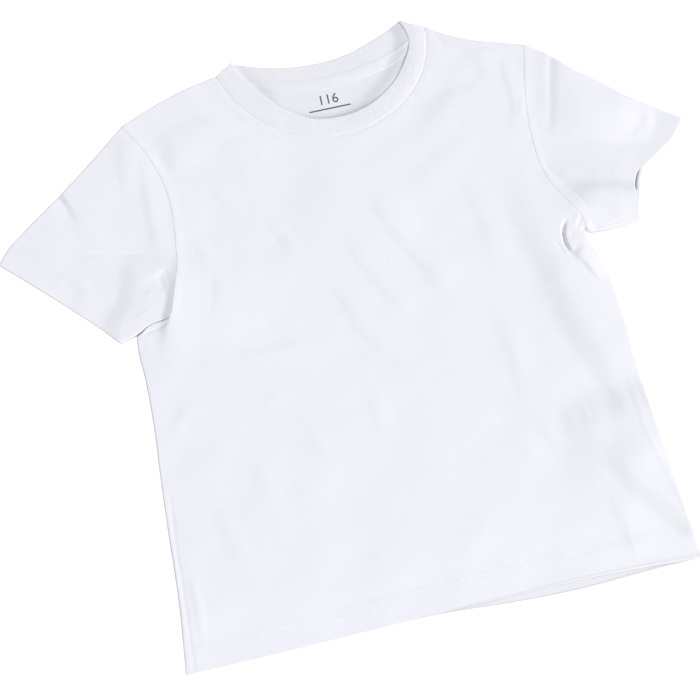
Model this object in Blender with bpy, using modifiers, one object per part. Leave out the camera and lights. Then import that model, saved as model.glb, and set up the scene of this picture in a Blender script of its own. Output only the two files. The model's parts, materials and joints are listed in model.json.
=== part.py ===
"""A child's crew neck t-shirt, laid flat on its back, with its creases.

The pieces are drafted in the garment's own frame and in millimetres: x towards the wearer's left, y from hem
to neck with 0 at the armpits, z up from the surface under it. Left and right are the wearer's, so right is
-x. Each piece is an open sheet of its outer face, thickened inwards by Solidify. The back lies flat on the
surface, and the front, the sleeves' upper layers and the band follow one height, top_of(), of the garment.
"""

from collections import namedtuple

import bpy
import numpy as np

MM = 0.001
NAME = "crew_neck_tshirt"

# Cloth
CLOTH = 1.2  # wall of the jersey
HEM_CLOTH = 1.6  # wall where a hem is turned up and pressed
TAPE_CLOTH = 1.0
BAND_CLOTH = 1.8  # wall of the folded rib
GAP = 0.3  # between pieces that lie on each other
SEAM_GAP = 0.5  # between pieces that meet edge to edge
HEM_DEPTH = 20.0

# Heights of the garment's upper face
LOFT = 5.6  # where it lies smooth
HEM_LEVEL = 3.9  # where it rests on the layer below, along the hem and the cuffs
HEM_REACH = 50.0  # how far in from there it has risen to the loft
FACET_SAG = 0.1  # how far a facet may cut below the height it follows
LOWEST = CLOTH + GAP + HEM_CLOTH + FACET_SAG
HIGHEST = 11.5
SOFTNESS = 0.8  # how gradually the height comes up against the two limits
ROLL = 3.6  # how far in from a folded edge the cloth has turned level
TILTED_WALL = 0.7  # how far a wall that has turned down reaches below its outer face
EDGE_FOOT = CLOTH + GAP + TILTED_WALL  # the outer face of a folded edge comes down to here

# Outlines -----------------------------------------------------------------------------------------------

Section = namedtuple("Section", "y right left")
BODY = [
    Section(-264, -200.0, 199.5),
    Section(-205, -194.5, 194.5),
    Section(-158, -192.5, 191.0),
    Section(-120, -190.5, 188.8),
    Section(-70, -187.3, 188.0),
    Section(-36, -187.0, 185.5),
    Section(-14, -188.0, 180.0),
]
SIDE_TOP = {"right": (-187.0, -4.0), "left": (176.0, 0.0)}
ARMPIT = {"right": (-158.5, 8.5), "left": (176.5, 1.0)}
SHOULDER_POINT = {"right": (-166.5, 168.5), "left": (166.0, 166.5)}
NECK_POINT = {"right": (-84.0, 194.0), "left": (91.0, 199.0)}
BAND_POINT = {"right": (-69.8, 202.3), "left": (72.0, 207.5)}

# Each line runs through its points as a smooth curve, from the wearer's right to the left or from the
# armpit up.
HEM_FRONT = [
    (-200, -267.8), (-140, -265.8), (-60, -263), (20, -260.5), (70, -260.8), (140, -261), (199.5, -261.5),
]
HEM_BACK = [
    (-200, -266.5), (-60, -262), (0, -262.3), (45, -264.8), (105, -266), (150, -264), (199.5, -260.5),
]
ARMHOLE = {
    "right": [
        ARMPIT["right"], (-150.5, 20), (-145, 50), (-140.5, 80), (-141, 108), (-147, 131), (-155, 150),
        SHOULDER_POINT["right"],
    ],
    "left": [
        ARMPIT["left"], (176, 14), (168, 30), (157, 52), (153, 83), (154.5, 110), (159, 136),
        SHOULDER_POINT["left"],
    ],
}
# From the right side's top to the armpit, the front leaves a slit under the sleeve that the back closes
SLIT_FRONT = [SIDE_TOP["right"], (-172.0, 1.2), (-163.0, 4.2), ARMPIT["right"]]
SLIT_BACK = [SIDE_TOP["right"], (-175.5, 4.6), (-166.5, 7.9), ARMPIT["right"]]
SHOULDER = {
    "right": [SHOULDER_POINT["right"], (-140, 179.3), (-112, 188.3), NECK_POINT["right"]],
    "left": [SHOULDER_POINT["left"], (145, 173), (118, 182.8), (102, 191.5), NECK_POINT["left"]],
}
NECK_FRONT = [
    NECK_POINT["right"], (-79, 180), (-66, 159), (-45, 139), (-20, 126), (6, 122.5), (32, 126), (58, 138),
    (78, 158), (87.5, 178), NECK_POINT["left"],
]
NECK_BACK = [
    NECK_POINT["right"], (-53, 184), (-28, 177), (0, 173.5), (32, 176), (60, 183), NECK_POINT["left"],
]
BAND_FRONT = [
    BAND_POINT["right"], (-65, 190), (-52, 172), (-34, 153), (-14, 141), (8, 138), (32, 142.5), (52, 154),
    (68, 172), (76, 190), BAND_POINT["left"],
]
BAND_BACK = [BAND_POINT["right"], (-32, 189.8), (0, 187), (22, 189), (50, 198), BAND_POINT["left"]]
CUFF_TOP = {"right": (-282.0, 77.5), "left": (275.5, 79.0)}
CUFF_FOOT = {"right": (-199.5, -6.0), "left": (219.5, 2.8)}
CUFF = {
    "right": [CUFF_TOP["right"], (-235, 32), (-213, 9.5), CUFF_FOOT["right"]],
    "left": [CUFF_TOP["left"], (263.5, 64), (247, 53), (234, 44), (225, 26), CUFF_FOOT["left"]],
}
# The lower layer shows past the upper one at the left cuff's notch
CUFF_LOWER = {
    "right": CUFF["right"],
    "left": [CUFF_TOP["left"], (263.5, 64.5), (247.5, 54), (235, 44), (227, 26), CUFF_FOOT["left"]],
}
# The sleeves' two folded edges, from where the armhole ends on them
SLEEVE_TOP = {
    "right": [(-181, 156.5), (-203, 139), (-226, 122), (-256, 101), (-273, 88), CUFF_TOP["right"]],
    "left": [(185, 152), (199, 138), (216, 124), (235, 107), (255, 93), CUFF_TOP["left"]],
}
UNDERARM = {
    "right": [(-166.5, 9.0), (-176, 5.8), (-188, 0.8), CUFF_FOOT["right"]],
    "left": [(196, 0.2), CUFF_FOOT["left"]],
}

# Creases ------------------------------------------------------------------------------------------------

# Each runs from (x0, y0) to (x1, y1), bowed to its left by bow. It spreads by port to its left and by
# starboard to its right, rises by height or sinks by it, and takes a share fade0 and fade1 of its length
# to start and to end. With no fade it runs past that end, by the share OVERRUN.
Crease = namedtuple("Crease", "x0 y0 x1 y1 bow port starboard height fade0 fade1")
OVERRUN = 0.2
CREASES = {
    "right sleeve, from the shoulder": Crease(-172, 162, -182, 98, 2, 8, 8, -1.7, 0.2, 0.4),
    "right sleeve, along the armhole": Crease(-157, 148, -161, 56, 5, 6, 5, -1.9, 0.3, 0.3),
    "right sleeve, down to the cuff": Crease(-176, 62, -203, 2, 3, 14, 11, -2.4, 0.3, 0.2),
    "right armpit, front stands up": Crease(-143, 62, -150, 0, -5, 9, 7, 2.8, 0.4, 0.4),
    "right armpit, hollow": Crease(-152.5, 44, -160, 6, -3, 5, 6, -3.6, 0.4, 0.1),
    "right armpit, sleeve stands up": Crease(-163, 52, -168, 10, 0, 6, 8, 2.4, 0.4, 0.1),
    "right side below the armpit": Crease(-168, -2, -181, -40, 0, 9, 9, -1.8, 0.2, 0.5),
    "right chest": Crease(-134, 158, -127, 112, 0, 10, 10, -1.6, 0.3, 0.5),
    "right of the neck": Crease(-116, 166, -56, 139, 4, 5, 6, -1.1, 0.4, 0.4),
    "left shoulder": Crease(108, 181, 128, 142, -3, 9, 11, -2.2, 0.1, 0.5),
    "left armhole": Crease(142, 160, 138, 92, 0, 7, 8, -1.9, 0.3, 0.4),
    "left sleeve, standing pleat": Crease(182, 156, 164, 64, 0, 5, 7, 1.8, 0.1, 0.3),
    "left sleeve, beside the pleat": Crease(187, 152, 170, 66, 0, 7, 4, -2.3, 0.1, 0.4),
    "left sleeve, above the valley": Crease(182, 84, 250, 76, 0, 16, 16, 2.6, 0.4, 0.1),
    "left sleeve, valley": Crease(166, 56, 232, 42, -2, 22, 11, -3.6, 0.35, 0.0),
    "left sleeve, below the valley": Crease(168, 30, 224, 17, 0, 9, 11, 3.4, 0.3, 0.0),
    "left armpit, front stands up": Crease(150, 34, 158, -34, -6, 12, 7, 4.0, 0.4, 0.4),
    "left armpit, hollow": Crease(165, 20, 164, -24, -10, 5, 5, -5.0, 0.25, 0.2),
    "left armpit, tail": Crease(161, -18, 180, -44, 0, 5, 5, -2.0, 0.2, 0.5),
    "left armpit, puff": Crease(168, 14, 172, -14, 0, 6, 6, 1.8, 0.4, 0.4),
    "left side, long trough": Crease(121, 30, 183, -150, -11, 19, 15, -3.2, 0.12, 0.25),
    "left side, swell": Crease(155, -24, 180, -100, -4, 16, 12, 2.0, 0.4, 0.4),
    "left side, dent": Crease(114, -147, 187, -139, 0, 12, 12, -1.7, 0.4, 0.2),
    "left hem corner": Crease(152, -180, 194, -256, 5, 9, 8, -1.6, 0.4, 0.1),
    "left hem": Crease(147, -198, 152, -262, 0, 8, 6, -1.2, 0.4, 0.2),
    "belly": Crease(74, -135, 104, -177, 0, 9, 9, -1.2, 0.4, 0.4),
    "chest to belly": Crease(-22, 58, 26, -106, 8, 13, 15, -1.5, 0.3, 0.5),
    "chest, left": Crease(22, 55, 78, -44, 4, 13, 12, -1.5, 0.3, 0.4),
    "neck stands up, left": Crease(70, 146, 92, 202, -8, 14, 18, 2.2, 0.4, 0.0),
    "neck stands up, right": Crease(-86, 198, -62, 152, -4, 12, 12, 0.9, 0.0, 0.5),
}

# How far the band's free edge stands above its seam, from the right neck point round the front to the left
BAND_LIFT = [3.0, 2.6, 2.0, 1.4, 1.0, 1.0, 1.4, 2.4, 3.8, 4.6, 4.2]
BAND_CROWN = 0.5  # how much higher the band's middle is than its edges

# The tape lies on the back, below its neck seam
TAPE_REACH = (0.1, 0.93)  # its ends, as shares of the back neck seam
TAPE_DROP = 0.8
TAPE_WIDTH = 9.0

# Grids --------------------------------------------------------------------------------------------------

# Steps along each edge. Pieces that meet share them, so that their straight facets run side by side.
SIDE_STEPS = 19
SLIT_STEPS = 2
ARMHOLE_STEPS = 17
SHOULDER_STEPS = 7
NECK_STEPS = 20
BACK_NECK_STEPS = 18
SLEEVE_STEPS = 18
BAND_ROWS = 4
TAPE_STEPS = 16
CURVE_STEPS = 200  # along the smooth curves that these steps are taken from
# Rough lengths, from which the steps beside the folded edges are placed
BODY_WIDTH = 390.0
BODY_LENGTH = 440.0
NECK_LENGTH = 255.0
BACK_NECK_LENGTH = 185.0
TURN = (0.9, 2.2, 4.8)  # how far the extra steps beside a folded edge are from it
SIDE_REACH = 3  # the higher, the sooner a grid forgets the bends of its sides


def curve(rows, count=CURVE_STEPS):
    """Points along a smooth curve through the rows, evenly spaced."""
    rows = np.asarray(rows, float)
    chord = np.linalg.norm(np.diff(rows, axis=0), axis=1)
    at = np.concatenate([[0], np.cumsum(chord)])
    slope = np.diff(rows, axis=0) / chord[:, None]
    weight = (chord[1:] / (chord[:-1] + chord[1:]))[:, None]
    inner = slope[:-1] * weight + slope[1:] * (1 - weight)
    start = 1.5 * slope[0] - 0.5 * inner[0]
    end = 1.5 * slope[-1] - 0.5 * inner[-1]
    tangent = np.vstack([start, inner, end])
    fine = np.linspace(0, at[-1], 12 * count)
    k = np.clip(np.searchsorted(at, fine, "right") - 1, 0, len(chord) - 1)
    t = ((fine - at[k]) / chord[k])[:, None]
    d = chord[k][:, None]
    points = (
        (1 + 2 * t) * (1 - t) ** 2 * rows[k]
        + t * (1 - t) ** 2 * d * tangent[k]
        + t**2 * (3 - 2 * t) * rows[k + 1]
        + t**2 * (t - 1) * d * tangent[k + 1]
    )
    return resample(points, np.linspace(0, 1, count + 1))


def resample(points, shares):
    """The points at these shares of a polyline's length."""
    length = np.concatenate([[0], np.cumsum(np.linalg.norm(np.diff(points, axis=0), axis=1))])
    where = np.asarray(shares) * length[-1]
    return np.stack([np.interp(where, length, points[:, i]) for i in range(points.shape[1])], axis=1)


def chain(*pieces):
    """A function of 0 to 1 that runs along (curve, share) pieces one after another."""
    ends = np.cumsum([0] + [share for _, share in pieces])
    ends = ends / ends[-1]

    def at(t):
        t = np.asarray(t, float)
        k = np.clip(np.searchsorted(ends, t, "right") - 1, 0, len(pieces) - 1)
        out = np.zeros((len(t), 2))
        for i, (points, _) in enumerate(pieces):
            here = k == i
            out[here] = resample(points, (t[here] - ends[i]) / (ends[i + 1] - ends[i]))
        return out

    return at


def patch(foot, head, right, left, u, v):
    """A sheet between four edges that meet at the corners, as a grid of (row, column) points."""
    u, v = np.asarray(u), np.asarray(v)
    foot, head, right, left = foot(u), head(u), right(v), left(v)
    a, b = u[None, :, None], v[:, None, None]
    straight = (1 - b) * foot[None] + b * head[None]
    right_bend = right[:, None] - (1 - b) * foot[0] - b * head[0]
    left_bend = left[:, None] - (1 - b) * foot[-1] - b * head[-1]
    return straight + (1 - a) ** SIDE_REACH * right_bend + a**SIDE_REACH * left_bend


def offset(line, by):
    """The polyline moved to its left."""
    ahead = np.gradient(line, axis=0)
    ahead /= np.linalg.norm(ahead, axis=1)[:, None]
    return line + by * np.stack([-ahead[:, 1], ahead[:, 0]], axis=1)


def distance(points, line):
    """How far each point is from a polyline."""
    flat = points.reshape(-1, 2)
    nearest = np.full(len(flat), np.inf)
    for start, run in zip(line[:-1], np.diff(line, axis=0)):
        t = np.clip(((flat - start) @ run) / (run @ run), 0, 1)
        nearest = np.minimum(nearest, np.linalg.norm(flat - start - t[:, None] * run, axis=1))
    return nearest.reshape(points.shape[:-1])


def steps(count, length, start=False, end=False):
    """Shares from 0 to 1 in even steps, with closer ones at an end where the cloth turns over."""
    turn = np.array(TURN) / length
    shares = [np.linspace(0, 1, count + 1)]
    if start:
        shares.append(turn)
    if end:
        shares.append(1 - turn)
    return np.unique(np.concatenate(shares))


# Heights ------------------------------------------------------------------------------------------------


def ease(t):
    t = np.clip(t, 0, 1)
    return t * t * (3 - 2 * t)


def crease_height(points, crease):
    """What one crease adds to the height at each point."""
    start = np.array([crease.x0, crease.y0], float)
    run = np.array([crease.x1, crease.y1], float) - start
    length = np.linalg.norm(run)
    ahead = run / length
    aside = np.array([-ahead[1], ahead[0]])
    t = ((points - start) @ ahead) / length
    off = (points - start) @ aside - crease.bow * 4 * t * (1 - t)
    width = np.where(off > 0, crease.port, crease.starboard)
    across = np.cos(np.clip(off / width, -1, 1) * np.pi / 2) ** 2
    grow = ease(t / crease.fade0) if crease.fade0 else t >= -OVERRUN
    end = ease((1 - t) / crease.fade1) if crease.fade1 else t <= 1 + OVERRUN
    return crease.height * across * grow * end


def top_of(points):
    """Height of the garment's upper face, where no edge turns it down."""
    open_edges = [curve(HEM_FRONT, 60), curve(CUFF["right"], 40), curve(CUFF["left"], 40)]
    inwards = np.min([distance(points, edge) for edge in open_edges], axis=0)
    height = HEM_LEVEL + (LOFT - HEM_LEVEL) * ease(inwards / HEM_REACH)
    for crease in CREASES.values():
        height = height + crease_height(points, crease)
    height = LOWEST + SOFTNESS * np.logaddexp(0, (height - LOWEST) / SOFTNESS)
    return HIGHEST - SOFTNESS * np.logaddexp(0, (HIGHEST - height) / SOFTNESS)


def turned_down(points, top, edges, foot):
    """The height where the cloth turns down over its folded edges, to the foot."""
    off = np.min([distance(points, edge) for edge in edges], axis=0)
    turn = np.sqrt(1 - (1 - np.clip(off / ROLL, 0, 1)) ** 2)
    return foot + (top - foot) * turn


# Meshes -------------------------------------------------------------------------------------------------


def grid_faces(rows, columns, ring=False):
    faces = []
    last = columns if ring else columns - 1
    for r in range(rows - 1):
        for c in range(last):
            d = (c + 1) % columns
            faces.append((r * columns + c, r * columns + d, (r + 1) * columns + d, (r + 1) * columns + c))
    return faces


def sheet(name, points, material, wall=CLOTH, ring=False, hem=None):
    """A sheet through a (row, column) grid of points, thickened inwards, and more so where hem is true."""
    rows, columns = points.shape[:2]
    mesh = bpy.data.meshes.new(name)
    mesh.from_pydata((points.reshape(-1, 3) * MM).tolist(), [], grid_faces(rows, columns, ring))
    mesh.update()
    obj = bpy.data.objects.new(name, mesh)
    bpy.data.collections[NAME].objects.link(obj)
    mesh.materials.append(material)
    mesh.shade_smooth()
    solid = obj.modifiers.new("cloth", "SOLIDIFY")
    solid.thickness = wall * MM
    solid.offset = -1
    solid.use_rim = True
    if hem is not None:
        doubled = obj.vertex_groups.new(name="hem")
        doubled.add([int(index) for index in np.flatnonzero(hem)], 1.0, "REPLACE")
        solid.thickness = HEM_CLOTH * MM
        solid.vertex_group = "hem"
        solid.thickness_vertex_group = wall / HEM_CLOTH
    return obj


def cotton(name, color):
    material = bpy.data.materials.new(name)
    material.use_nodes = True
    shader = material.node_tree.nodes["Principled BSDF"]
    shader.inputs["Base Color"].default_value = (*color, 1.0)
    shader.inputs["Roughness"].default_value = 0.9
    shader.inputs["Metallic"].default_value = 0.0
    return material


# Pieces -------------------------------------------------------------------------------------------------


def body_side(side):
    column = 1 if side == "right" else 2
    return curve([(section[column], section.y) for section in BODY] + [SIDE_TOP[side]])


def body_edges(hem, neck, neck_steps, slit):
    """The hem, the top, the right side and the left side of the front or the back."""
    sides = body_side("right"), body_side("left")
    armholes = curve(ARMHOLE["right"]), curve(ARMHOLE["left"])
    shoulders = curve(SHOULDER["right"]), curve(SHOULDER["left"])[::-1]
    under_sleeve = (curve(slit), SLIT_STEPS)
    right = chain((sides[0], SIDE_STEPS - SLIT_STEPS), under_sleeve, (armholes[0], ARMHOLE_STEPS))
    left = chain((sides[1], SIDE_STEPS), (armholes[1], ARMHOLE_STEPS))
    head = chain((shoulders[0], SHOULDER_STEPS), (curve(neck), neck_steps), (shoulders[1], SHOULDER_STEPS))
    return chain((curve(hem), 1)), head, right, left


def body_rows():
    return steps(SIDE_STEPS + ARMHOLE_STEPS, BODY_LENGTH, end=True)


def front_panel(material):
    edges = body_edges(HEM_FRONT, NECK_FRONT, NECK_STEPS, SLIT_FRONT)
    columns = steps(2 * SHOULDER_STEPS + NECK_STEPS, BODY_WIDTH, start=True, end=True)
    flat = patch(*edges, columns, body_rows())
    folded = [body_side("right"), body_side("left"), curve(SHOULDER["right"]), curve(SHOULDER["left"])]
    height = turned_down(flat, top_of(flat), folded, EDGE_FOOT)
    hem = distance(flat, curve(HEM_FRONT)) <= HEM_DEPTH
    return sheet("front_panel", np.dstack([flat, height]), material, hem=hem)


def back_panel(material):
    edges = body_edges(HEM_BACK, NECK_BACK, BACK_NECK_STEPS, SLIT_BACK)
    flat = patch(*edges, steps(2 * SHOULDER_STEPS + BACK_NECK_STEPS, BODY_WIDTH), body_rows())
    points = np.dstack([flat, np.zeros(flat.shape[:2])])
    return sheet("back_panel", points[:, ::-1], material)


def sleeve(side, material):
    """A flattened tube, open at the armhole and the cuff, folded along its top and under the arm."""
    outward = SEAM_GAP if side == "right" else -SEAM_GAP
    armhole = offset(curve(ARMHOLE[side]), outward)
    top = curve([tuple(armhole[-1])] + SLEEVE_TOP[side])
    under = curve([tuple(armhole[0])] + UNDERARM[side])
    u = steps(SLEEVE_STEPS, 1)
    armhole_length = BODY_LENGTH * ARMHOLE_STEPS / (SIDE_STEPS + ARMHOLE_STEPS)
    v = steps(ARMHOLE_STEPS, armhole_length, start=True, end=True)
    layers = []
    for cuff in (CUFF[side], CUFF_LOWER[side]):
        edges = chain((under, 1)), chain((top, 1)), chain((armhole, 1)), chain((curve(cuff)[::-1], 1))
        layers.append(patch(*edges, u, v).transpose(1, 0, 2))
    upper, lower = layers
    fold = top_of(upper) / 2
    upper_height = turned_down(upper, 2 * fold, [top, under], fold)
    lower_height = turned_down(lower, 0 * fold, [top, under], fold)
    lower_points = np.dstack([lower, lower_height])[:, -2:0:-1]
    ring = np.concatenate([np.dstack([upper, upper_height]), lower_points], axis=1)
    hem = distance(ring[..., :2], curve(CUFF[side])) <= HEM_DEPTH
    if side == "left":
        ring, hem = ring[:, ::-1], hem[:, ::-1]
    return sheet("sleeve_" + side, ring, material, ring=True, hem=hem)


def neckband(material):
    """The ring of folded rib: its front half lies over its back half and both turn at the shoulders."""
    share = steps(NECK_STEPS, NECK_LENGTH, start=True, end=True)
    seam = resample(offset(curve(NECK_FRONT), SEAM_GAP), share)
    free = resample(curve(BAND_FRONT), share)
    back_share = steps(BACK_NECK_STEPS, BACK_NECK_LENGTH, start=True, end=True)[-2:0:-1]
    back_seam = resample(offset(curve(NECK_BACK), SEAM_GAP), back_share)
    back_free = resample(curve(BAND_BACK), back_share)
    turns = [np.array([seam[end], free[end]]) for end in (0, -1)]
    across = np.linspace(0, 1, BAND_ROWS + 1)[:, None, None]
    front = (1 - across) * seam + across * free
    back = (1 - across) * back_seam + across * back_free
    lift = np.interp(share, np.linspace(0, 1, len(BAND_LIFT)), BAND_LIFT)
    crown = BAND_CROWN * np.sin(across[..., 0] * np.pi)
    height = top_of(front) + lift * across[..., 0] + crown
    fold = np.mean([height[:, 0], height[:, -1]], axis=0)[:, None] / 2
    front_height = turned_down(front, height, turns, fold)
    back_height = turned_down(back, 0 * back[..., 0], turns, fold)
    ring = np.concatenate([np.dstack([front, front_height]), np.dstack([back, back_height])], axis=1)
    return sheet("neckband", ring, material, wall=BAND_CLOTH, ring=True)


def neck_tape(material):
    seam = resample(curve(NECK_BACK), np.linspace(*TAPE_REACH, TAPE_STEPS + 1))
    edges = [offset(seam, -TAPE_DROP - TAPE_WIDTH), offset(seam, -TAPE_DROP)]
    level = np.full(len(seam), CLOTH + GAP + TAPE_CLOTH)
    points = np.stack([np.column_stack([edge, level]) for edge in edges])
    return sheet("neck_tape", points, material, wall=TAPE_CLOTH)


def stand_on_its_middle(objects):
    """Moves the garment so that the middle of its underside is the origin."""
    corners = np.array([vertex.co for obj in objects for vertex in obj.data.vertices])
    middle = (corners.min(axis=0) + corners.max(axis=0)) / 2
    for obj in objects:
        for vertex in obj.data.vertices:
            vertex.co.x -= middle[0]
            vertex.co.y -= middle[1]


def main():
    for obj in list(bpy.data.objects):
        bpy.data.objects.remove(obj, do_unlink=True)
    bpy.context.scene.collection.children.link(bpy.data.collections.new(NAME))
    jersey = cotton("white_jersey", (0.86, 0.87, 0.92))
    rib = cotton("white_rib", (0.85, 0.86, 0.91))
    stand_on_its_middle([
        front_panel(jersey),
        back_panel(jersey),
        sleeve("right", jersey),
        sleeve("left", jersey),
        neckband(rib),
        neck_tape(jersey),
    ])


main()
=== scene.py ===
"""Looks of a child's crew neck t-shirt, laid flat on its back: cloth, creases, seams and stitching.

The pieces are drafted in the garment's own frame and in millimetres: x towards the wearer's left, y from hem
to neck with 0 at the armpits, z up from the surface under it. Left and right are the wearer's, so right is
-x. Each piece of cloth is a closed thin wall, worked out from a grid of points on its outer face. The back
lies on the surface and rises inside the neck by back_rise(). The other pieces follow one height, top_of(),
of the garment.
"""

import json
import math
from collections import namedtuple

import bpy
import numpy as np
from mathutils import Matrix, Vector, noise

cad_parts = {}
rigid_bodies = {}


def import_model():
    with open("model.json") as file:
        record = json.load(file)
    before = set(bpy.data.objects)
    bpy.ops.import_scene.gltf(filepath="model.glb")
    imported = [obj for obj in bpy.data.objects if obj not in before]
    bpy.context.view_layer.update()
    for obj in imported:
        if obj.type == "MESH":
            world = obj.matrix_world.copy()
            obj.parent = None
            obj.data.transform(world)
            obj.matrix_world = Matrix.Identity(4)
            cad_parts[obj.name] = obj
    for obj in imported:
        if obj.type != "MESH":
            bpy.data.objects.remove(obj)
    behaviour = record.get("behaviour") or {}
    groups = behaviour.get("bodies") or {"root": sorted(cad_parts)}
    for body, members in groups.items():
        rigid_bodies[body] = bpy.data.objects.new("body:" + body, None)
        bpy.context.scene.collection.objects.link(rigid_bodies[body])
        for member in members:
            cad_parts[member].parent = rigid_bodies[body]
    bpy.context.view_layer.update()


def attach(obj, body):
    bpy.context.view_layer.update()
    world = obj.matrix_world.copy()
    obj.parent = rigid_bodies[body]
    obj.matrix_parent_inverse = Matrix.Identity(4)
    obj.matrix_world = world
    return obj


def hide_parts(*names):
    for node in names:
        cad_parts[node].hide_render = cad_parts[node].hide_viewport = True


for leftover in list(bpy.data.objects):
    bpy.data.objects.remove(leftover, do_unlink=True)
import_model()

MM = 0.001
MIDDLE = (-3.25, -30.0)  # of the garment's outline, in the frame that it is drafted in

# Cloth
JERSEY = 0.8  # wall of the jersey
HEM = 1.5  # wall where a hem is turned up and pressed
TAPE = 0.5
RIB = 1.8  # wall of the folded rib
SEAM_GAP = 0.32  # between the outlines of pieces that meet edge to edge
EDGE_BULGE = 0.8  # how round an open edge is, as a share of half its wall

# Heights of the garment's upper face
LOFT = 5.6  # where it lies smooth
HEM_LEVEL = 3.9  # where it rests on the layer below, along the hem and the cuffs
HEM_REACH = 50.0  # how far in from there it has risen to the loft
LOWEST = 2.0
HIGHEST = 13.0
SOFTNESS = 0.7  # how gradually the height comes up against the two limits
ROLL = 2.0  # how far in from a folded edge the cloth has turned level
EDGE_FULLNESS = 3.0  # 2 turns a folded edge down in a round, more makes it squarer
EDGE_FOOT = 3.2  # the body's folded edges come down to here
CURL = 2.8  # how high the back curls up to meet them

# Sewing
HEM_ROWS = (16.5, 21.0)  # the two needles' rows, from the turned edge
NECK_ROWS = (1.9, 6.2)  # from the neck seam
HEM_TURNING = (22.5, 0.12)  # depth of the turned-up layer and how much it stands out
NECK_TURNING = (7.0, 0.08)
TURNING_STEP = 3.0  # how wide the step at a turned-up layer's raw edge is
WALL_STEP = 1.6  # and over what width the wall there gains the layer
SEAM_DIP = (0.14, 0.9)  # how far the neck seam is drawn down, and how far in from it
SEAM_RIDGE = {"right": 0.3, "left": 0.16}  # how much an armhole's turned-in edges lift the cloth
SEAM_TURNING = 8.0  # how far they reach
STITCH = (2.3, 0.24, 0.09)  # length, half width and half height
STITCH_PITCH = 3.0
STITCH_LEAD = 0.3  # where a row's first stitch begins
STITCH_BOW = 0.5  # how far its middle stands up, as a share of its half height
STITCH_RINGS = 3
STITCH_SIDES = 6
ROW_TRIM = {"neck": 4, "cuff": 6}  # steps of a curve that a row stops short of its ends

# Outlines -----------------------------------------------------------------------------------------------

Section = namedtuple("Section", "y right left")
BODY = [  # the two sides, from the hem up
    Section(-264, -200.0, 199.5),
    Section(-205, -194.5, 194.5),
    Section(-158, -192.5, 191.0),
    Section(-120, -190.5, 188.8),
    Section(-70, -187.3, 188.0),
    Section(-36, -187.0, 185.5),
    Section(-14, -188.0, 180.0),
]
# Where a side ends, and the corners where outlines meet
SIDE_TOP = {"right": (-187.0, -4.0), "left": (176.0, 0.0)}
ARMPIT = {"right": (-159.2, 4.4), "left": (176.5, 1.0)}
SHOULDER_POINT = {"right": (-166.5, 168.5), "left": (166.0, 166.5)}
NECK_POINT = {"right": (-84.0, 194.0), "left": (91.0, 199.0)}
BAND_POINT = {"right": (-69.8, 202.3), "left": (72.0, 207.5)}

# Each line runs through its points as a smooth curve: hems, necks and slits from the wearer's right to the
# left, armholes from the armpit up, shoulders towards the neck, and cuffs from their top to their foot.
HEM_FRONT = [
    (-200, -267.8), (-140, -265.8), (-60, -263), (20, -260.3), (70, -259.3), (105, -258.6), (140, -259),
    (199.5, -261.5),
]
HEM_BACK = [
    (-200, -268.8), (-140, -266.6), (-60, -263.3), (0, -262.3), (45, -264.8), (105, -266), (150, -264),
    (199.5, -262),
]
ARMHOLE = {
    "right": [
        ARMPIT["right"], (-157.2, 7.5), (-154.8, 12.5), (-152.2, 21), (-149, 32), (-145, 44), (-142.4, 62),
        (-140.5, 80), (-141, 108), (-147, 131), (-155, 150), SHOULDER_POINT["right"],
    ],
    "left": [
        ARMPIT["left"], (176, 14), (168, 30), (157, 52), (153, 83), (154.5, 110), (159, 136),
        SHOULDER_POINT["left"],
    ],
}
# From the right side's top to the armpit, the front leaves a slit under the sleeve that the back closes
SLIT_FRONT = [
    SIDE_TOP["right"], (-181.8, -1.9), (-177.6, 1.2), (-174.1, 2.7), (-170.9, 3.4), (-167.1, 3.8),
    (-163.3, 4.0), ARMPIT["right"],
]
SLIT_BACK = [
    SIDE_TOP["right"], (-182.7, 0.4), (-177, 3.4), (-170.6, 5.2), (-166.2, 5.6), (-162.5, 5.5),
    ARMPIT["right"],
]
SHOULDER = {
    "right": [SHOULDER_POINT["right"], (-140, 179.3), (-112, 188.3), NECK_POINT["right"]],
    "left": [SHOULDER_POINT["left"], (145, 173), (118, 182.8), (102, 191.5), NECK_POINT["left"]],
}
NECK_FRONT = [
    NECK_POINT["right"], (-79, 180), (-66, 159), (-45, 139), (-20, 126), (6, 122.5), (32, 126), (58, 138),
    (78, 158), (87.5, 178), NECK_POINT["left"],
]
NECK_BACK = [
    NECK_POINT["right"], (-53, 184), (-28, 177), (0, 173.5), (32, 176), (60, 183), NECK_POINT["left"],
]
BAND_FRONT = [
    BAND_POINT["right"], (-65, 190), (-52, 172), (-34, 153), (-14, 141), (8, 138), (32, 142.5), (52, 154),
    (68, 172), (76, 190), BAND_POINT["left"],
]
BAND_BACK = [BAND_POINT["right"], (-32, 189.8), (0, 187), (22, 189), (50, 198), BAND_POINT["left"]]
CUFF_TOP = {"right": (-282.0, 77.5), "left": (275.5, 79.0)}
CUFF_FOOT = {"right": (-199.5, -6.0), "left": (219.5, 2.8)}
CUFF = {
    "right": [CUFF_TOP["right"], (-235, 32), (-213, 9.5), CUFF_FOOT["right"]],
    "left": [CUFF_TOP["left"], (263.5, 64), (247, 53), (234, 44), (225, 26), CUFF_FOOT["left"]],
}
# The lower layer shows past the upper one at the left cuff's notch
CUFF_LOWER = {
    "right": CUFF["right"],
    "left": [CUFF_TOP["left"], (263.5, 64.5), (247.5, 54), (235, 44), (227, 26), CUFF_FOOT["left"]],
}
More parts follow.
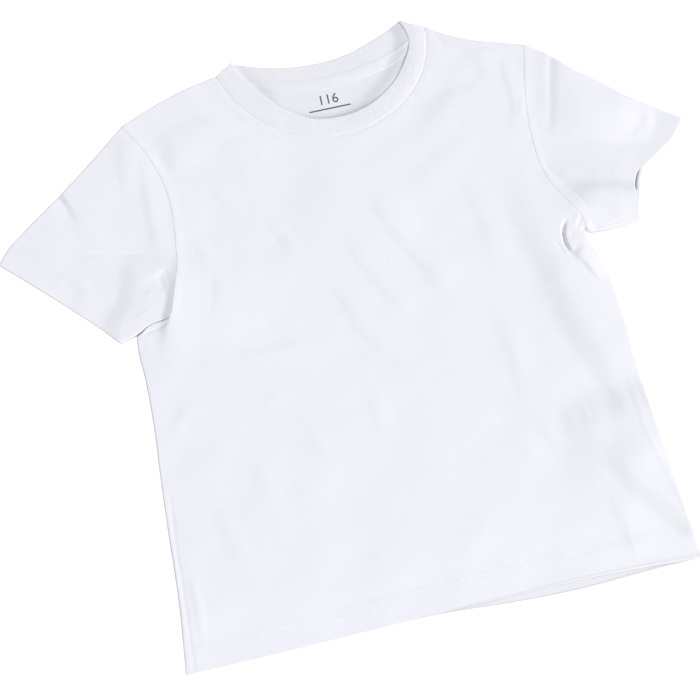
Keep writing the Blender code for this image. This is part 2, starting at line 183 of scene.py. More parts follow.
# The sleeves' two folded edges, from where the armhole ends on them
SLEEVE_TOP = {
    "right": [(-181, 156.5), (-203, 139), (-226, 122), (-256, 101), (-273, 88), CUFF_TOP["right"]],
    "left": [(185, 152), (199, 138), (216, 124), (235, 107), (255, 93), CUFF_TOP["left"]],
}
UNDERARM = {
    "right": [
        (-163.3, 4.4), (-167, 4.2), (-170.8, 3.8), (-177.3, 1.8), (-183.2, -1.2), CUFF_FOOT["right"],
    ],
    "left": [(196, 0.2), CUFF_FOOT["left"]],
}

# Creases ------------------------------------------------------------------------------------------------

# Each runs through its path's points and spreads by port to its left and by starboard to its right. It rises
# by height, or sinks by it, and starts over a share fade_in of its length and ends over a share fade_out.
# The form says how its sides fall away from the line: "soft" is rounded, "keen" comes to an edge along the
# line, "swell" is soft to port and a dome to starboard that ends in an edge along its foot, and "ledge" is
# soft to port and keen to starboard.
Crease = namedtuple(
    "Crease", "path port starboard height fade_in fade_out form", defaults=[0.4, 0.4, "soft"]
)
CREASES = {
    # Right sleeve
    "pressed nick": Crease([(-227, 126), (-221, 112), (-214, 91)], 2.3, 16, -1.8, 0.0, 0.8, "keen"),
    "from the shoulder": Crease(
        [(-165, 163), (-169, 140), (-170, 122), (-176, 103)], 20, 9, 0.6, 0.25, 0.4
    ),
    "along the armhole": Crease(
        [(-154, 150), (-155, 118), (-156, 90), (-156, 56)], 14, 6.5, 0.5, 0.3, 0.2
    ),
    "pressed line across": Crease(
        [(-233, 66), (-208, 69), (-184, 63.5), (-166, 59.5), (-150, 52)], 2.2, 2.2, -0.7, 0.4, 0.1, "keen"
    ),
    "down to the cuff": Crease(
        [(-170, 64), (-176, 42), (-181, 28), (-189, 14), (-199, 3)], 70, 18, 1.5, 0.3, 0.0
    ),
    "foot of that fold": Crease(
        [(-185, 54), (-188, 45), (-194, 33), (-203, 20)], 12, 7, -0.2, 0.3, 0.4, "keen"
    ),
    "cuff corner swells": Crease([(-214, 44), (-222, 30), (-224, 20)], 22, 13, 0.4, 0.4, 0.3),
    "tuck above the foot": Crease([(-189, 9), (-178, 12.5), (-166, 16)], 4, 5, 0.3),
    "second tuck": Crease([(-178, 25), (-167, 30), (-158, 36)], 4, 4, 0.25),
    "slanting to the cuff": Crease([(-236, 60), (-221, 47), (-210, 33)], 8, 8, 0.35),
    "cuff dents": Crease([(-246, 49), (-236, 54), (-226, 58)], 7, 7, 0.3, 0.4, 0.5),
    "sleeve's middle": Crease([(-214, 108), (-206, 88), (-192, 74)], 20, 14, 0.5),
    # Right armpit
    "front stands up": Crease(
        [
            (-140.5, 62), (-143.2, 46), (-146.4, 35), (-149.6, 25), (-152.2, 17), (-155.2, 9),
            (-158.4, 2.5), (-162, -7), (-165, -18),
        ],
        90, 8.5, 2.7, 0.6, 0.3,
    ),
    "slit beside it": Crease(
        [(-159.4, 43.5), (-159.2, 38.5), (-158.6, 32.5), (-158, 27)], 2.2, 20, -0.7, 0.3, 0.3
    ),
    "second slit beside it": Crease(
        [(-155.2, 46), (-154.6, 40.5), (-153.6, 35)], 1.8, 10, -0.6, 0.3, 0.3
    ),
    "side below the armpit": Crease([(-161, -4), (-164, -18), (-171, -36)], 30, 12, 0.4, 0.2, 0.5),
    "fold under the slit": Crease(
        [(-181, -3.1), (-176, -2.4), (-172.7, -1.5), (-169.4, -1), (-165.9, 0.3), (-161, 1.2)],
        1.8, 1.8, -0.8, 0.15, 0.1, "keen",
    ),
    # Right of the chest
    "down from the shoulder": Crease([(-132, 162), (-128, 141), (-125, 116)], 40, 14, 0.9),
    "right of the neck": Crease([(-110, 161), (-86, 152), (-66, 142)], 7, 9, 0.35),
    "right of the neck, upper": Crease([(-122, 175), (-103, 170.5), (-86, 166)], 5, 7, 0.25),
    "right of the neck, lower": Crease([(-94, 131), (-78, 130), (-62, 127)], 9, 10, 0.35),
    "under the neck": Crease([(-58, 84), (0, 70), (52, 74)], 44, 70, 1.2, 0.5, 0.5),
    "right of the chest, slant": Crease([(-109, 117), (-97, 92), (-85, 68)], 12, 7, 0.3, 0.4, 0.5),
    "right of the chest, slant 2": Crease([(-71, 74), (-57, 48), (-53, 24)], 12, 8, 0.3, 0.4, 0.5),
    "right of the chest, upright": Crease([(-134, 72), (-121, 46), (-120, 22)], 12, 8, 0.4, 0.4, 0.5),
    "right of the ribs, upright": Crease([(-113, 48), (-115, 20), (-124, -8)], 12, 8, 0.35, 0.4, 0.5),
    "across the ribs": Crease([(-118, -30), (-95, -39), (-64, -38), (-45, -44)], 7, 12, 0.55, 0.3, 0.4),
    "across the ribs, low": Crease([(-108, -80), (-92, -73), (-76, -69)], 6, 8, 0.4, 0.4, 0.5),
    # Left shoulder
    "sharp line off the neck": Crease(
        [(97, 195), (101, 185), (105, 175)], 2.8, 6, -0.6, 0.1, 0.5, "keen"
    ),
    "puff beside the neck": Crease(
        [(112, 174), (109, 154), (99, 137), (80, 117), (60, 103)], 22, 13, 0.36, 0.3, 0.4
    ),
    "hook off the neck": Crease(
        [(108, 178), (115, 162), (120, 151), (111, 146), (97, 144), (84, 139), (72, 130)],
        12, 24, -0.6, 0.15, 0.4,
    ),
    "down the armhole": Crease([(145, 162), (147, 140), (147, 120), (141, 94)], 12, 5.5, 0.5, 0.25, 0.4),
    "bump at the armhole": Crease([(154, 129), (153, 117), (146, 106)], 6, 5, 0.4),
    "under the shoulder's edge": Crease([(122, 171), (136, 166), (150, 163)], 4, 8, 0.4),
    # Left sleeve
    "standing pleat": Crease([(183, 158), (176, 133), (172, 115), (166, 88)], 3.5, 9, 0.4, 0.0, 0.4),
    "beside the pleat": Crease(
        [(194, 152), (188, 131), (183, 113), (179, 96), (172, 78)], 44, 8.5, 1.15, 0.1, 0.3, "swell"
    ),
    "above the valley": Crease([(174, 100), (210, 97), (256, 90)], 30, 28, 1.0, 0.3, 0.1),
    "out of the valley": Crease(
        [(254, 15), (222, 23.5), (204, 29), (184, 35), (165, 42), (148, 50)],
        40, 42, 4.8, 0.0, 0.8, "swell",
    ),
    "lip over the valley": Crease(
        [(246, 17), (222, 22.5), (204, 28), (184, 34), (166, 41)], 16, 13, 2.6, 0.0, 0.35
    ),
    "cuff gapes": Crease(
        [(229.8, 43.5), (226.6, 37), (223.9, 31), (221.9, 25)], 0.8, 1.0, -5.0, 0.3, 0.3
    ),
    "island in the valley": Crease([(168, 57), (176, 50), (186, 46)], 5, 6, 0.35),
    "tucks under the lip": Crease([(190, 21.5), (203, 18.5), (216, 15.5)], 2, 3, 0.25),
    "lower tucks": Crease([(185, 5.5), (199, 7.5), (217, 10.5)], 2, 2.6, 0.25),
    "cuff, drawn line": Crease(
        [(252, 94), (248, 85), (240, 77), (231, 70)], 12, 3.2, 0.4, 0.05, 0.3, "ledge"
    ),
    "cuff's corner": Crease([(256, 104), (250, 90), (240, 76), (230, 64)], 28, 24, -1.2, 0.0, 0.4),
    "cuff, dent": Crease([(236, 64), (246, 60), (256, 58)], 5, 5, 0.4, 0.3, 0.3),
    "top edge, dent": Crease([(195, 127), (205, 121), (216, 115)], 5, 8, 0.35),
    "armhole's outer line": Crease(
        [(158, 80), (160, 60), (167, 48), (185, 19)], 1.6, 1.6, -0.2, 0.3, 0.1
    ),
    # Left armpit
    "crescent": Crease(
        [(164, 17), (159.5, 10), (157.5, 4), (157.5, -3), (159.5, -10), (162, -16)], 1.5, 0.7, -5.0
    ),
    "crescent's tail": Crease([(162, -12), (169, -21), (175, -32), (181, -41)], 14, 3.5, 1.4, 0.15, 0.5),
    "curl beside the crescent": Crease(
        [(173, 21), (172, 15), (169, 11), (164, 8)], 2.4, 1.8, 0.3, 0.3, 0.4
    ),
    "curl's groove": Crease([(176, 17), (173, 11), (168, 6)], 1.5, 2.4, -0.35, 0.3, 0.4),
    "puff": Crease([(163, 2), (170, -5), (178, -6)], 6, 7, 0.3, 0.3, 0.3),
    "hook in the puff": Crease([(164, 5), (165, 1), (169, -2), (173, -3)], 1.5, 1.5, -0.6, 0.3, 0.4),
    "hook in the corner": Crease([(172, 4.5), (175, 4.5), (177, 2), (181, 0)], 1.4, 1.4, -1.8, 0.3, 0.2),
    "dent at the sleeve's foot": Crease([(180, 9), (184, 5), (190, 3)], 4, 4, -0.5),
    "tiny slant": Crease([(150, 0), (152, -5), (155, -13)], 1.8, 1.8, -0.4),
    # Left side of the body
    "long swell": Crease(
        [
            (151, 76), (146, 54), (142, 30), (143, 8), (149, -16), (153, -42), (158, -70), (169, -96),
            (180, -118), (190, -138),
        ],
        55, 25, 2.9, 0.5, 0.25,
    ),
    "dent at the side": Crease(
        [(112, -149), (146, -151), (172, -149), (194, -145)], 32, 90, 3.3, 0.5, 0.0
    ),
    "dent, to the side seam": Crease([(152, -146), (178, -147), (200, -141)], 30, 60, 0.8, 0.4, 0.0),
    "dent, upper tuck": Crease(
        [(158, -106), (166, -124), (172, -140), (182, -150)], 12, 8, 0.5, 0.3, 0.5
    ),
    "dent, lower tuck": Crease([(112, -142), (130, -150), (152, -150)], 7, 7, 0.3),
    "dent, puckers": Crease([(122, -128), (128, -140), (127, -152)], 5, 5, 0.35),
    "dent, more puckers": Crease([(136, -124), (140, -138), (138, -150)], 4, 5, 0.3),
    "towards the hem corner": Crease(
        [(148, -158), (158, -176), (166, -193), (179, -211), (191, -224), (200, -238)],
        60, 17, 2.3, 0.35, 0.0,
    ),
    "down to the hem": Crease(
        [(143, -192), (146, -212), (150, -232), (151, -256)], 30, 8, 0.65, 0.4, 0.15
    ),
    "belly": Crease([(101, -126), (110, -150), (113, -168)], 12, 7, 0.45),
    "belly to the hem": Crease([(75, -138), (87, -152), (103, -174)], 12, 7, 0.4),
    "turned side seam, left": Crease(
        [(176, -106), (179, -135), (180, -157), (187, -190), (196, -231)], 6, 2.0, 0.2, 0.2, 0.1
    ),
    "chest, first": Crease([(-10, 46), (1, 14), (15, -14), (34, -42)], 30, 8, 0.6, 0.25, 0.4),
    "chest, first, lower": Crease([(-24, 12), (-12, -36), (9, -66), (30, -96)], 26, 8, 0.55, 0.25, 0.35),
    "chest, second": Crease([(14, 74), (30, 40), (46, 6), (70, -38)], 30, 9, 0.7, 0.2, 0.3),
    "chest, second, lower": Crease([(86, -42), (96, -66), (98, -92), (97, -122)], 18, 9, 0.5, 0.3, 0.35),
    "chest, hanging line": Crease([(-18, -80), (-17, -104), (-19, -128)], 12, 7, 0.35),
    "chest, far left": Crease(
        [(88, 86), (98, 58), (101, 30), (102, 0), (101, -26)], 20, 11, 0.45, 0.25, 0.4
    ),
    "under the band, left": Crease([(94, 100), (74, 77), (42, 63)], 20, 14, 0.28),
    # Right side of the body and the hem
    "turned side seam": Crease(
        [(-184, -118), (-188, -164), (-190, -210), (-193, -262)], 1.6, 2.2, -0.3, 0.2, 0.0
    ),
    "line beside it": Crease([(-184, -184), (-181, -214), (-184, -246)], 7, 4, 0.3, 0.3, 0.3),
    "low on the right": Crease([(-150, -136), (-146, -172), (-131, -206)], 14, 9, 0.35, 0.4, 0.5),
    "low, second": Crease([(-119, -104), (-110, -160), (-107, -200)], 14, 9, 0.3, 0.4, 0.5),
    "low, third": Crease([(-79, -82), (-67, -112), (-60, -142)], 12, 8, 0.3, 0.4, 0.5),
    "low, fourth": Crease([(-176, -90), (-162, -73), (-150, -62)], 8, 7, 0.4, 0.4, 0.5),
    "above the hem": Crease([(-100, -228), (-51, -231), (0, -228)], 8, 9, 0.3),
    "above the hem, left": Crease([(104, -243), (142, -243), (180, -238)], 8, 8, 0.35),
    # Neck
    "neck stands up, left": Crease([(58, 140), (77, 168), (86, 208)], 16, 36, 0.7, 0.4, 0.0),
    "neck stands up, right": Crease([(-90, 200), (-74, 172), (-58, 150)], 12, 12, 0.5, 0.0, 0.5),
    "neck lies lower": Crease(
        [
            (-84, 194), (-72, 168), (-45, 139), (-20, 126), (6, 122.5), (32, 126), (58, 138), (80, 162),
            (91, 199),
        ],
        40, 30, -0.7, 0.0, 0.0,
    ),
}
# The same for the back, where the neck opens
BACK_CREASES = {
    "rises inside the neck": Crease([(-34, 176), (0, 168), (40, 176)], 60, 44, 1.7, 0.0, 0.0),
    "falls to the right neck point": Crease(
        [(-75, 206), (-65, 190), (-52, 172), (-38, 156)], 10, 14, -1.3, 0.0, 0.4
    ),
    "gap at the tape's end": Crease([(-60, 184), (-55, 175), (-50, 167), (-44, 160)], 4.5, 6, -1.6),
    "rises to the left neck point": Crease(
        [(74, 210), (76, 190), (68, 172), (52, 154), (30, 140), (6, 134)], 9, 14, 3.2, 0.0, 0.4
    ),
}
CREASE_STEPS = 18

# Slight unevenness of the cloth: wavelength across the grain, height, and its turn in radians
RUMPLES = [(46.0, 0.6, 1.2), (21.0, 0.3, 0.5), (9.0, 0.06, 2.0)]
RUMPLE_STRETCH = 1.7
PUCKER = (6.0, 0.1, 7.0)  # wavelength and height beside a row of stitching, and how far it reaches
PUCKER_TURN = 0.9

# How far the band's free edge stands above its seam, from the right neck point round the front to the left
BAND_LIFT = [0.8, 0.7, 0.5, 0.3, 0.2, 0.2, 0.2, 0.3, 0.5, 0.7, 0.8]
BAND_ROLL = 0.9  # how far in from the neck points the band has turned level
BAND_CROWN = 0.3  # how much higher the band's middle is than its edges
BAND_WIDTH = 15.0
BAND_ACROSS = [(1, 0.5), (13, 1.1), (1, 0.5)]
RIB_PITCH = 1.5
RIB_HEIGHT = 0.1
RIB_STEPS = 4  # columns of the band's grid for each rib
RIB_START = 0.12  # the ribs reach their full height at this share of the band's width

# The tape lies on the back, below its neck seam
TAPE_REACH = (0.06, 0.95)  # its ends, as shares of the back neck seam
TAPE_DROP = -0.5  # its upper edge lies over the edge of the band
TAPE_WIDTH = 9.0
TAPE_LEVELS = (1.25, 2.1)  # of its face, at its lower and upper edge
TAPE_ROWS = (1.2, 7.8)  # of stitching, from its upper edge
TAPE_RIPPLE = (5.0, 0.1, 0.2)  # its slight unevenness: wavelength, height, and its turn in radians
TAPE_ACROSS = [(0.6, 0.3), (TAPE_WIDTH - 1.2, 0.8), (0.6, 0.3)]
TAPE_ALONG = 150

# The size, printed inside the back of the neck
PRINT_MIDDLE = (1.0, 155.5)
PRINT_NUMBER = "116"
PRINT_HEIGHT = 8.5
PRINT_RULE = (34.0, 1.1, 8.0)  # length, width and how far below the number's middle
PRINT_STEPS = 12
LETTER_SIZE = 1.35  # a letter's nominal size over its height
INK = 0.06  # how far it stands off the cloth

# Grids: runs of (length, step) from one edge of a piece to the other -------------------------------------

TURN = [(1, 0.35), (3, 0.6)]  # beside an edge, where the cloth turns down
FRONT_COLUMNS = [*TURN, (18, 1.35), (26, 0.95), (284, 3.0), (26, 0.95), (18, 1.35), *TURN[::-1]]
FRONT_ROWS = [*TURN, (24, 1.4), (168, 2.9), (60, 1.7), (186, 1.7), (6, 0.9), (2, 0.45)]
BACK_COLUMNS = [*TURN, (372, 4.4), *TURN[::-1]]
BACK_ROWS = [*TURN, (436, 4.4), *TURN[::-1]]
SLEEVE_UPPER = [*TURN, (160, 1.35), *TURN[::-1]]
SLEEVE_LOWER = [*TURN, (160, 3.6), *TURN[::-1]]
SLEEVE_LENGTH = [(1, 0.5), (4, 1.0), (72, 1.35), (12, 0.9), (1, 0.5)]
SIDE_SHARES = (17, 2, 17)  # side, slit and armhole
HEAD_SHARES = (7, 20, 7)  # shoulder, neck and shoulder
CURVE_STEPS = 200  # along the smooth curves
NEAR_STEPS = 70  # along a curve that distances are taken from
SIDE_REACH = 3  # the higher, the sooner a grid forgets the bends of its sides
RIM_LOOPS = 3  # round an open edge

CURVE_FINENESS = 12  # points worked out for each one kept

SLEEVE_GRAIN = {"right": 128, "left": 40}  # how far the knit is turned, in degrees


def curve(rows, count=CURVE_STEPS):
    """Points along a smooth curve through the rows, evenly spaced."""
    rows = np.asarray(rows, float)
    chord = np.linalg.norm(np.diff(rows, axis=0), axis=1)
    at = np.concatenate([[0], np.cumsum(chord)])
    slope = np.diff(rows, axis=0) / chord[:, None]
    if len(rows) == 2:
        return rows[0] + np.linspace(0, 1, count + 1)[:, None] * (rows[1] - rows[0])
    weight = (chord[1:] / (chord[:-1] + chord[1:]))[:, None]
    inner = slope[:-1] * weight + slope[1:] * (1 - weight)
    start = 1.5 * slope[0] - 0.5 * inner[0]
    end = 1.5 * slope[-1] - 0.5 * inner[-1]
    tangent = np.vstack([start, inner, end])
    fine = np.linspace(0, at[-1], CURVE_FINENESS * count)
    k = np.clip(np.searchsorted(at, fine, "right") - 1, 0, len(chord) - 1)
    t = ((fine - at[k]) / chord[k])[:, None]
    d = chord[k][:, None]
    points = (
        (1 + 2 * t) * (1 - t) ** 2 * rows[k]
        + t * (1 - t) ** 2 * d * tangent[k]
        + t**2 * (3 - 2 * t) * rows[k + 1]
        + t**2 * (t - 1) * d * tangent[k + 1]
    )
    return resample(points, np.linspace(0, 1, count + 1))


def length_of(line):
    """Length of a polyline."""
    return np.linalg.norm(np.diff(line, axis=0), axis=1).sum()


def resample(points, shares):
    """The points at these shares of a polyline's length."""
    length = np.concatenate([[0], np.cumsum(np.linalg.norm(np.diff(points, axis=0), axis=1))])
    where = np.asarray(shares) * length[-1]
    return np.stack([np.interp(where, length, points[:, i]) for i in range(points.shape[1])], axis=1)


def chain(*pieces):
    """A function of 0 to 1 that runs along (curve, share) pieces one after another."""
    ends = np.cumsum([0] + [share for _, share in pieces])
    ends = ends / ends[-1]

    def at(t):
        t = np.asarray(t, float)
        k = np.clip(np.searchsorted(ends, t, "right") - 1, 0, len(pieces) - 1)
        out = np.zeros((len(t), 2))
        for i, (points, _) in enumerate(pieces):
            here = k == i
            out[here] = resample(points, (t[here] - ends[i]) / (ends[i + 1] - ends[i]))
        return out

    return at


def patch(foot, head, right, left, u, v):
    """A sheet between four edges that meet at the corners, as a grid of (row, column) points."""
    foot, head, right, left = foot(u), head(u), right(v), left(v)
    a, b = u[None, :, None], v[:, None, None]
    straight = (1 - b) * foot[None] + b * head[None]
    right_bend = right[:, None] - (1 - b) * foot[0] - b * head[0]
    left_bend = left[:, None] - (1 - b) * foot[-1] - b * head[-1]
    return straight + (1 - a) ** SIDE_REACH * right_bend + a**SIDE_REACH * left_bend


def offset(line, by):
    """The polyline moved to its left."""
    ahead = np.gradient(line, axis=0)
    ahead /= np.linalg.norm(ahead, axis=1)[:, None]
    return line + by * np.stack([-ahead[:, 1], ahead[:, 0]], axis=1)


def beside(points, line):
    """How far each point is from a polyline, on which side of it, and the share of its length there."""
    flat = points.reshape(-1, 2)
    nearest = np.full(len(flat), np.inf)
    side = np.zeros(len(flat))
    share = np.zeros(len(flat))
    runs = np.diff(line, axis=0)
    for i, (start, run) in enumerate(zip(line[:-1], runs)):
        t = np.clip(((flat - start) @ run) / (run @ run), 0, 1)
        away = flat - start - t[:, None] * run
        off = np.hypot(away[:, 0], away[:, 1])
        closer = off < nearest
        nearest[closer] = off[closer]
        side[closer] = np.sign(run[0] * away[closer, 1] - run[1] * away[closer, 0])
        share[closer] = (i + t[closer]) / len(runs)
    shape = points.shape[:-1]
    return nearest.reshape(shape), side.reshape(shape), share.reshape(shape)


def distance(points, rows):
    """How far each point is from the smooth curve through the rows."""
    return beside(points, curve(rows, NEAR_STEPS))[0]


def from_edges(points, edges):
    """How far each point is from the nearest of the polylines."""
    return np.min([beside(points, edge)[0] for edge in edges], axis=0)


def turned(points, degrees):
    """The points as seen along axes that are turned this far to the left."""
    c, s = math.cos(math.radians(degrees)), math.sin(math.radians(degrees))
    x, y = points[..., 0], points[..., 1]
    return np.stack([x * c + y * s, y * c - x * s], axis=-1)


def area_of(*lines):
    """Area inside a closed outline that is given as lines end to end."""
    x, y = np.concatenate(lines).T
    return abs(np.sum(x * np.roll(y, -1) - y * np.roll(x, -1))) / 2


def steps(runs):
    """Shares from 0 to 1 for runs of (length, step)."""
    at = [np.zeros(1)]
    for length, step in runs:
        count = max(1, round(length / step))
        at.append(at[-1][-1] + length * (np.arange(count) + 1) / count)
    at = np.concatenate(at)
    return at / at[-1]


# Heights ------------------------------------------------------------------------------------------------


def ease(t):
    """From 0 to 1 as t does, with a gentle start and end."""
    t = np.clip(t, 0, 1)
    return t * t * (3 - 2 * t)


FALL = {
    "soft": lambda out: np.cos(out * np.pi / 2) ** 2,
    "keen": lambda out: (1 - out) ** 2,
    "dome": lambda out: 1 - out**2,
}
SIDES = {
    "soft": ("soft", "soft"),
    "keen": ("keen", "keen"),
    "swell": ("soft", "dome"),
    "ledge": ("soft", "keen"),
}


def crease_height(flat, crease):
    """What one crease adds to the height at each point."""
    line = curve(crease.path, CREASE_STEPS)
    reach = max(crease.port, crease.starboard)
    near = ((flat > line.min(axis=0) - reach) & (flat < line.max(axis=0) + reach)).all(axis=1)
    added = np.zeros(len(flat))
    if not near.any():
        return added
    off, side, share = beside(flat[near], line)
    width = np.where(side > 0, crease.port, crease.starboard)
    out = np.clip(off / width, 0, 1)
    across = np.where(side > 0, *(FALL[name](out) for name in SIDES[crease.form]))
    grow = ease(share / crease.fade_in) if crease.fade_in else 1.0
    end = ease((1 - share) / crease.fade_out) if crease.fade_out else 1.0
    added[near] = crease.height * across * grow * end
    return added


def waves(flat, size, turn, stretch, seed):
    """Smooth noise between -1 and 1, of this size across and longer along, turned from x."""
    along, across = (turned(flat, math.degrees(turn)) / (size * stretch, size)).T
    return np.array([noise.noise((a, b, seed)) for a, b in zip(along, across)])


def top_of(points):
    """Height of the garment's upper face, where no edge turns it down."""
    flat = points.reshape(-1, 2)
    hems = [HEM_FRONT, CUFF["right"], CUFF["left"]]
    from_hem = np.min([distance(flat, hem) for hem in hems], axis=0)
    from_neck = distance(flat, NECK_FRONT)
    height = HEM_LEVEL + (LOFT - HEM_LEVEL) * ease(from_hem / HEM_REACH)
    for crease in CREASES.values():
        height = height + crease_height(flat, crease)
    for size, rise, turn in RUMPLES:
        height = height + rise * waves(flat, size, turn, RUMPLE_STRETCH, size)
    height = LOWEST + SOFTNESS * np.logaddexp(0, (height - LOWEST) / SOFTNESS)
    height = HIGHEST - SOFTNESS * np.logaddexp(0, (HIGHEST - height) / SOFTNESS)
    # Sewing draws the cloth in
    size, rise, reach = PUCKER
    beside_rows = np.abs([from_hem - HEM_ROWS[0], from_neck - NECK_ROWS[1]])
    sewn = np.exp(-beside_rows / reach).sum(axis=0)
    height = height + rise * sewn * waves(flat, size, PUCKER_TURN, stretch=1.0, seed=size)
    dip, reach = SEAM_DIP
    height = height - dip * np.exp(-((from_neck / reach) ** 2))
    for from_edge, (depth, rise) in ((from_hem, HEM_TURNING), (from_neck, NECK_TURNING)):
        height = height + rise * ease((depth - from_edge) / TURNING_STEP + 0.5)
    return height.reshape(points.shape[:-1])


def seam_ridge(points, side):
    """How far the turned-in edges of an armhole's seam lift the piece they are pressed towards."""
    return SEAM_RIDGE[side] * ease(1 - distance(points, ARMHOLE[side]) / SEAM_TURNING)


def back_rise(points):
    """How far the back lies up from the surface under it."""
    flat = points.reshape(-1, 2)
    rise = sum(crease_height(flat, crease) for crease in BACK_CREASES.values())
    return np.maximum(rise, 0).reshape(points.shape[:-1])


def turned_down(points, top, edges, foot, roll=ROLL):
    """The height where the cloth turns down over its folded edges, to the foot."""
    off = from_edges(points, edges)
    turn = (1 - (1 - np.clip(off / roll, 0, 1)) ** EDGE_FULLNESS) ** (1 / EDGE_FULLNESS)
    return foot + (top - foot) * turn


# Meshes -------------------------------------------------------------------------------------------------


def cross(a, b):
    """Unit vectors square to both."""
    c = np.cross(a, b)
    return c / np.maximum(np.linalg.norm(c, axis=-1, keepdims=True), 1e-9)


def outward(points, ring):
    """Unit normals of a (row, column) grid."""
    if ring:
        across = np.roll(points, -1, axis=1) - np.roll(points, 1, axis=1)
    else:
        across = np.gradient(points, axis=1)
    return cross(across, np.gradient(points, axis=0))


def edge_loops(rows, columns, ring):
    """The grid's open edges, each as indices that run round it with the cloth on their left."""
    index = np.arange(rows * columns).reshape(rows, columns)
    if ring:
        return [index[0], index[-1][::-1]]
    return [np.concatenate([index[0, :-1], index[:-1, -1], index[-1, :0:-1], index[:0:-1, 0]])]


def quads(a, b, c, d):
    """Faces of four corners, from four grids of indices."""
    return np.stack([a.ravel(), b.ravel(), c.ravel(), d.ravel()], axis=1)


def wall_of(points, wall, ring, relief):
    """A closed wall of cloth: its vertices, its faces, and for each vertex the grid point it comes from."""
    rows, columns = points.shape[:2]
    away = outward(points, ring)
    wall = np.broadcast_to(wall, (rows, columns))[..., None]
    relief = np.broadcast_to(relief, (rows, columns))[..., None]
    outer = (points + relief * away).reshape(-1, 3)
    inner = (points - (wall + relief) * away).reshape(-1, 3)
    away = away.reshape(-1, 3)
    count = rows * columns
    index = np.arange(count).reshape(rows, columns)
    right = np.roll(index, -1, axis=1) if ring else index[:, 1:]
    left = index if ring else index[:, :-1]
    faces = [quads(left[:-1], right[:-1], right[1:], left[1:])]
    faces.append(faces[0][:, ::-1] + count)
    vertices, source = [outer, inner], [np.arange(count), np.arange(count)]
    total = 2 * count
    for loop in edge_loops(rows, columns, ring):
        middle = (outer[loop] + inner[loop]) / 2
        half = (outer[loop] - inner[loop]) / 2
        beyond = cross(np.roll(middle, -1, axis=0) - np.roll(middle, 1, axis=0), away[loop])
        bulge = EDGE_BULGE * np.linalg.norm(half, axis=1)[:, None] * beyond
        previous = loop
        for k in range(RIM_LOOPS):
            angle = math.pi * (k + 1) / (RIM_LOOPS + 1)
            vertices.append(middle + math.cos(angle) * half + math.sin(angle) * bulge)
            source.append(loop)
            this = total + np.arange(len(loop))
            total += len(loop)
            faces.append(quads(previous, this, np.roll(this, -1), np.roll(previous, -1)))
            previous = this
        this = loop + count
        faces.append(quads(previous, this, np.roll(this, -1), np.roll(previous, -1)))
    return np.concatenate(vertices), np.concatenate(faces).tolist(), np.concatenate(source)


def placed(points):
    """Points of the garment's frame, in the part's frame and in metres."""
    return (np.asarray(points, float) - (*MIDDLE, 0.0)) * MM


def mesh_object(name, vertices, faces, material):
    mesh = bpy.data.meshes.new(name)
    mesh.from_pydata(placed(vertices).tolist(), [], faces)
    mesh.update()
    mesh.shade_smooth()
    mesh.materials.append(material)
    obj = bpy.data.objects.new(name, mesh)
    bpy.context.scene.collection.objects.link(obj)
    return obj


def cloth(name, points, wall, material, grain, ring=False, relief=0.0, measures=None):
    """One piece of cloth. Grain is each grid point's place on the flat cloth in mm."""
    vertices, faces, source = wall_of(points, wall, ring, relief)
    obj = mesh_object(name, vertices, faces, material)
    mesh = obj.data
    corners = np.empty(len(mesh.loops), np.int32)
    mesh.loops.foreach_get("vertex_index", corners)
    layer = mesh.uv_layers.new(name="grain")
    layer.uv.foreach_set("vector", grain.reshape(-1, 2)[source][corners].astype(np.float32).ravel())
    for key, values in (measures or {}).items():
        attribute = mesh.attributes.new(key, "FLOAT", "POINT")
        attribute.data.foreach_set("value", values.reshape(-1)[source].astype(np.float32))
    return obj


# Shaders ------------------------------------------------------------------------------------------------


class Wire:
    """A number in a material that varies over the cloth. Arithmetic on it adds Math nodes."""

    def __init__(self, finish, socket):
        self.finish = finish
        self.socket = socket

    def math(self, operation, *values):
        return self.finish.node("ShaderNodeMath", {"operation": operation}, dict(enumerate(values)))

    def __add__(self, other):
        return self.math("ADD", self, other)

    def __sub__(self, other):
        return self.math("SUBTRACT", self, other)

    def __rsub__(self, other):
        return self.math("SUBTRACT", other, self)

    def __mul__(self, other):
        return self.math("MULTIPLY", self, other)

    def __truediv__(self, other):
        return self.math("DIVIDE", self, other)

    def __rtruediv__(self, other):
        return self.math("DIVIDE", other, self)

    __radd__ = __add__
    __rmul__ = __mul__


